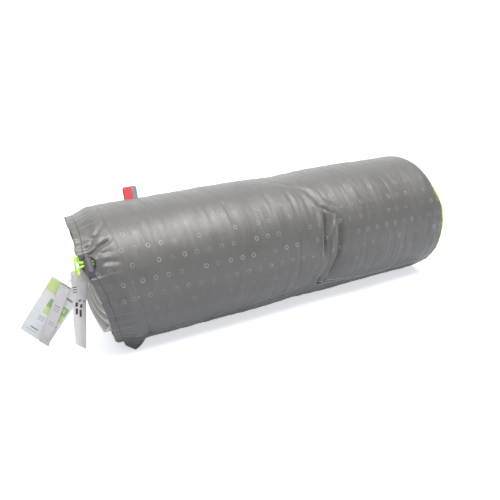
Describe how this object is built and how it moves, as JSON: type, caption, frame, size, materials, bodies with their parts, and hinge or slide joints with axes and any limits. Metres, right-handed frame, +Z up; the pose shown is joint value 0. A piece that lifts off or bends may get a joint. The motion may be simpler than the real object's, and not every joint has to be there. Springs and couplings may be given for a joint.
{
  "type": "inflatable sleeping pad",
  "caption": "Self-inflating sleeping mat rolled inside a cylindrical drawstring stuff sack, lying on its side, with cord lock, labels, hang tag and screw valve.",
  "frame": {"origin": "centre of the flat on which the sack rests, under the roll's axis", "axes": "+X along the roll from the mouth to the base, +Z up, -Y the side with the lower seam and the cord lock"},
  "size_m": [0.6114, 0.172, 0.1762],
  "materials": {
    "sack_cloth": "satin woven polyester",
    "lime_cloth": "satin woven polyester",
    "red_ribbon": "woven ribbon",
    "lime_cord": "braided polyester",
    "lock_plastic": "moulded, matt",
    "spring_steel": "drawn wire",
    "white_ribbon": "satin ribbon",
    "tag_card": "coated card",
    "clear_plastic": "clear nylon",
    "mat_top_cloth": "woven polyester, laminated",
    "mat_bottom_cloth": "woven polyester, laminated",
    "foam": "open-cell polyurethane foam",
    "mat_weld": "heat-welded edge",
    "elastic": "woven elastic",
    "valve_plastic": "moulded, matt",
    "valve_cap_plastic": "moulded, matt",
    "seal_rubber": "silicone"
  },
  "bodies": {
    "sack": {"sack_front_panel": "sack_cloth", "sack_rear_panel": "sack_cloth", "lower_seam": "sack_cloth", "upper_seam": "sack_cloth", "mouth_collar": "sack_cloth", "hem_channel": "sack_cloth", "base_piping": "lime_cloth", "base_panel": "lime_cloth", "loop_label": "red_ribbon", "drawcord_in_hem": "lime_cord", "drawcord_loop": "lime_cord"},
    "mat_roll": {"mat_top_skin": "mat_top_cloth", "mat_bottom_skin": "mat_bottom_cloth", "foam_core": "foam", "mat_weld_mouth_side": "mat_weld", "mat_weld_base_side": "mat_weld", "retaining_band_mouth": "elastic", "retaining_band_base": "elastic", "valve_body": "valve_plastic", "care_label_long": "white_ribbon"},
    "cord_lock": {"cord_lock_barrel": "lock_plastic", "cord_lock_spring": "spring_steel"},
    "lock_button": {"cord_lock_button": "lock_plastic"},
    "tag": {"hang_tag": "tag_card", "tag_loop": "clear_plastic", "care_label_short": "white_ribbon"},
    "valve_riser": {"valve_seal": "seal_rubber"},
    "cap": {"valve_cap": "valve_cap_plastic"}
  },
  "joints": [
    {"name": "roll_slide", "type": "slide", "parent": "sack", "child": "mat_roll", "axis": [-1, 0, 0], "range_m": [0, 0.6]},
    {"name": "lock_slide", "type": "slide", "parent": "sack", "child": "cord_lock", "axis": [-1, 0, 0], "range_m": [0, 0.005]},
    {"name": "lock_press", "type": "slide", "parent": "cord_lock", "child": "lock_button", "axis": [0, -0.5736, -0.8192], "range_m": [0, 0.0035], "stiffness_N_per_m": 800, "springref_m": -0.002, "deforming": ["cord_lock_spring"]},
    {"name": "tag_swing", "type": "hinge", "parent": "mat_roll", "child": "tag", "pos_m": [-0.3186, -0.06, 0.115], "axis": [0.9573, 0.2891, 0], "range_deg": [0, 30]},
    {"name": "valve_rise", "type": "slide", "parent": "mat_roll", "child": "valve_riser", "axis": [-1, 0, 0], "range_m": [0, 0.0025]},
    {"name": "cap_turn", "type": "hinge", "parent": "valve_riser", "child": "cap", "pos_m": [-0.262, -0.00227, 0.14526], "axis": [-1, 0, 0], "range_deg": [0, 180]}
  ],
  "couplings": [
    {"joint": "cap_turn", "follows": "valve_rise", "rad_per_m": 1256}
  ]
}
